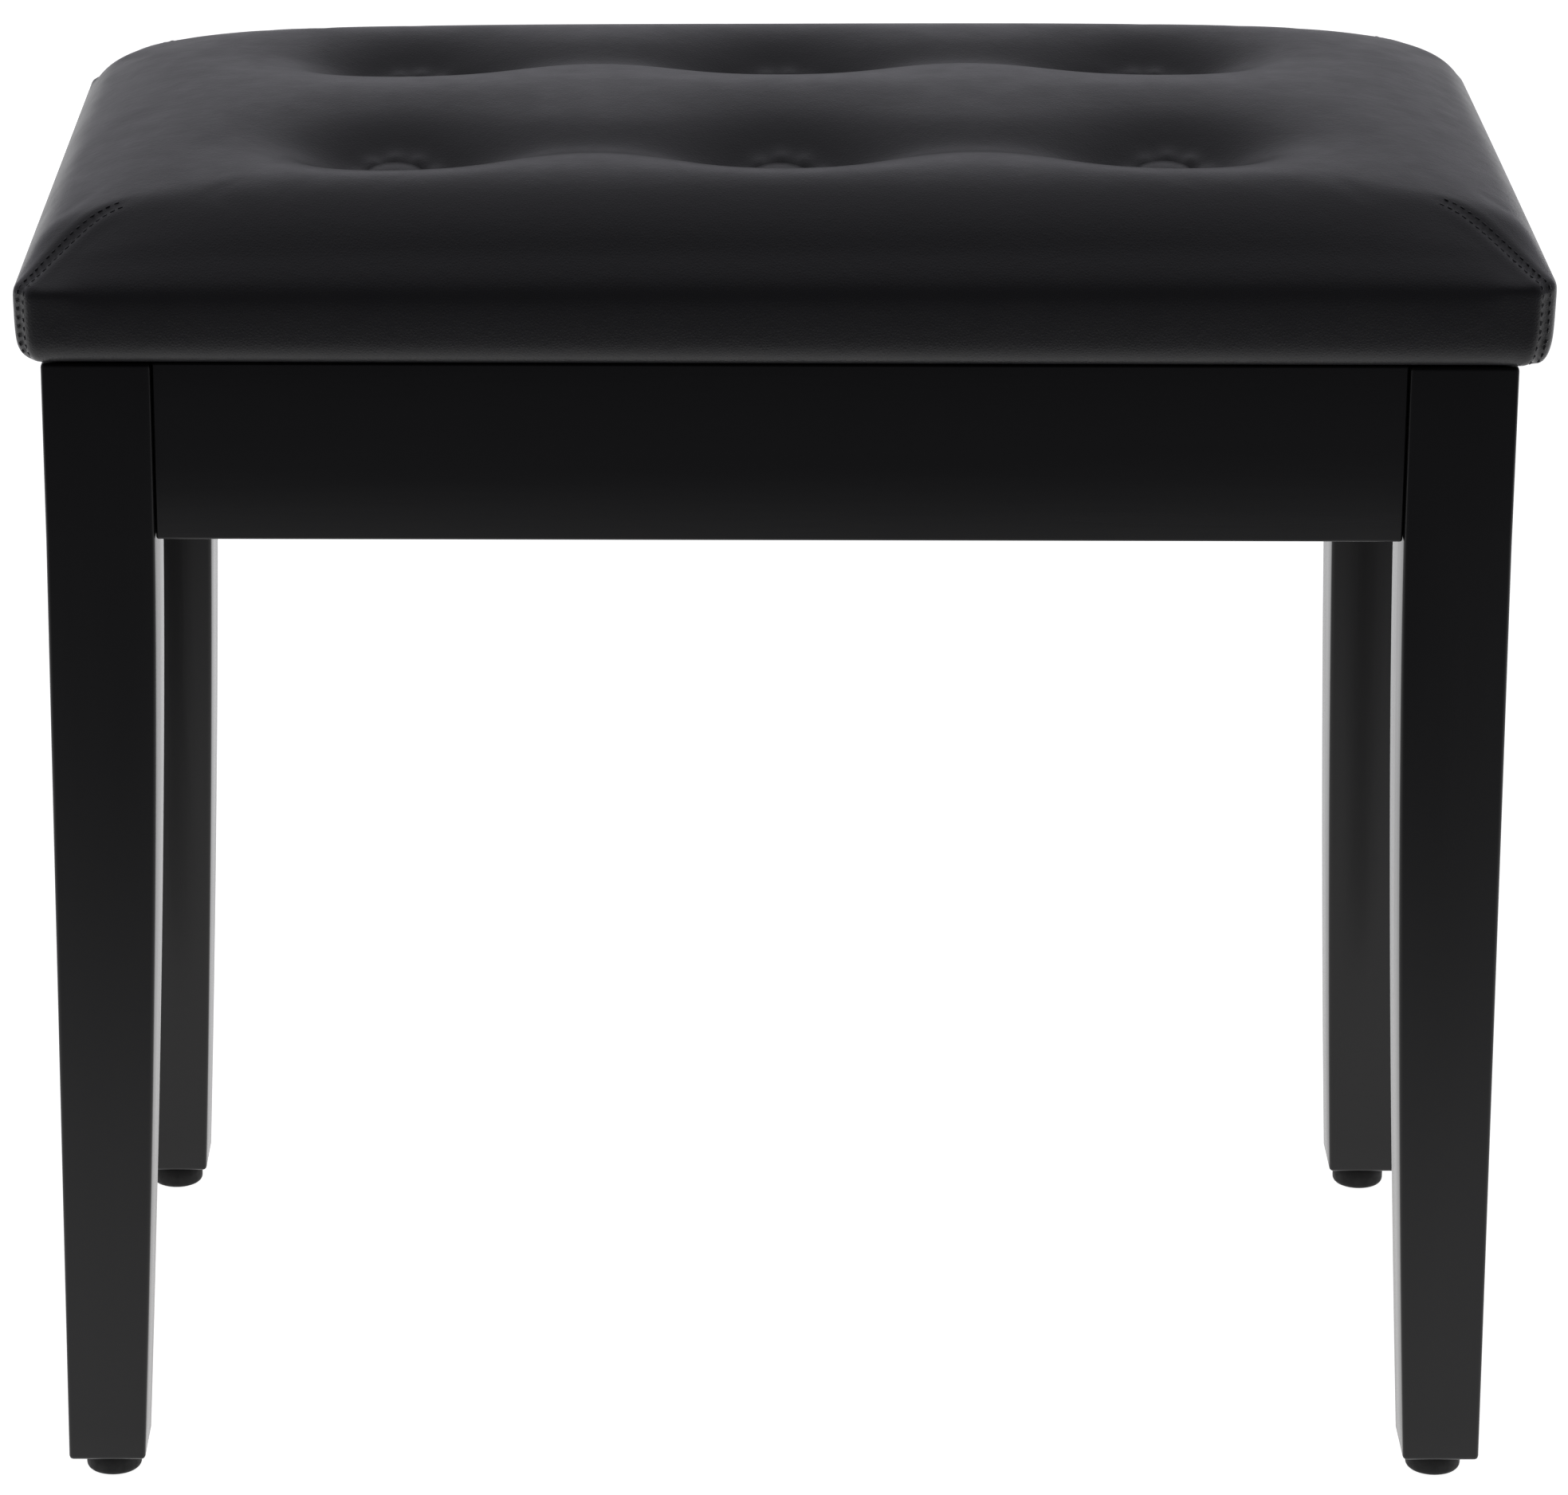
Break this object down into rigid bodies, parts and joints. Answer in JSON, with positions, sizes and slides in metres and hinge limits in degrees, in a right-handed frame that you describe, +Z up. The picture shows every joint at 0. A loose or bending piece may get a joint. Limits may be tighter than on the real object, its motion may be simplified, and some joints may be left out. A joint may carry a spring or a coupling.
{
  "type": "piano bench",
  "caption": "Black wooden piano bench with tapered square legs, a music box in its apron, and a buttoned leather seat that opens as the lid.",
  "frame": {"origin": "on the floor under the middle of the bench", "axes": "+Z up; -Y is the front, where the seat lifts; +X is to the right seen from the front"},
  "size_m": [0.551, 0.33, 0.513],
  "materials": {
    "black_satin_wood": "satin black paint",
    "plywood": "bare plywood",
    "black_leather": "fine grained, semi-gloss",
    "foam": "upholstery foam",
    "dust_cloth": "non-woven cloth",
    "zinc_steel": "zinc plated",
    "black_rubber": "matt rubber"
  },
  "bodies": {
    "frame": {"leg_front_left": "black_satin_wood", "leg_front_right": "black_satin_wood", "leg_rear_left": "black_satin_wood", "leg_rear_right": "black_satin_wood", "apron_front": "black_satin_wood", "apron_rear": "black_satin_wood", "apron_left": "black_satin_wood", "apron_right": "black_satin_wood", "storage_floor": "plywood", "glide_front_left": "black_rubber", "glide_front_right": "black_rubber", "glide_rear_left": "black_rubber", "glide_rear_right": "black_rubber", "lid_bumper_left": "black_rubber", "lid_bumper_right": "black_rubber", "corner_bracket_front_left": "zinc_steel", "hanger_bolt_front_left": "zinc_steel", "hex_nut_front_left": "zinc_steel", "glide_screw_front_left": "zinc_steel", "corner_bracket_front_right": "zinc_steel", "hanger_bolt_front_right": "zinc_steel", "hex_nut_front_right": "zinc_steel", "glide_screw_front_right": "zinc_steel", "corner_bracket_rear_left": "zinc_steel", "hanger_bolt_rear_left": "zinc_steel", "hex_nut_rear_left": "zinc_steel", "glide_screw_rear_left": "zinc_steel", "corner_bracket_rear_right": "zinc_steel", "hanger_bolt_rear_right": "zinc_steel", "hex_nut_rear_right": "zinc_steel", "glide_screw_rear_right": "zinc_steel", "hinge_frame_leaf_left": "zinc_steel", "hinge_frame_leaf_right": "zinc_steel", "hinge_pin_left": "zinc_steel", "hinge_pin_right": "zinc_steel", "frame_hinge_screw_left_1": "zinc_steel", "frame_hinge_screw_left_2": "zinc_steel", "frame_hinge_screw_right_1": "zinc_steel", "frame_hinge_screw_right_2": "zinc_steel", "stay_frame_bracket": "zinc_steel"},
    "lid": {"seat_board": "plywood", "leather_cover": "black_leather", "tuft_button_1": "black_leather", "tuft_button_2": "black_leather", "tuft_button_3": "black_leather", "tuft_button_4": "black_leather", "tuft_button_5": "black_leather", "tuft_button_6": "black_leather", "foam_pad": "foam", "dust_cover": "dust_cloth", "hinge_lid_leaf_left": "zinc_steel", "hinge_lid_leaf_right": "zinc_steel", "lid_hinge_screw_left_1": "zinc_steel", "lid_hinge_screw_left_2": "zinc_steel", "lid_hinge_screw_right_1": "zinc_steel", "lid_hinge_screw_right_2": "zinc_steel", "stay_lid_bracket": "zinc_steel"},
    "stay_lower": {"stay_lower_arm": "zinc_steel", "stay_elbow_rivet": "zinc_steel"},
    "stay_upper": {"stay_upper_arm": "zinc_steel"}
  },
  "joints": [
    {"name": "lid_hinge", "type": "hinge", "parent": "frame", "child": "lid", "pos_m": [0, 0.1568, 0.4417], "axis": [-1, 0, 0], "range_deg": [0, 85]},
    {"name": "stay_foot_pivot", "type": "hinge", "parent": "frame", "child": "stay_lower", "pos_m": [-0.169, 0.1285, 0.398], "axis": [-1, 0, 0], "range_deg": [0, 85]},
    {"name": "stay_elbow_pivot", "type": "hinge", "parent": "stay_lower", "child": "stay_upper", "pos_m": [-0.167, 0.07668, 0.393], "axis": [-1, 0, 0], "range_deg": [-85, 0]}
  ],
  "couplings": [
    {"joint": "stay_foot_pivot", "follows": "lid_hinge", "ratio": 1},
    {"joint": "stay_elbow_pivot", "follows": "lid_hinge", "ratio": -1}
  ]
}
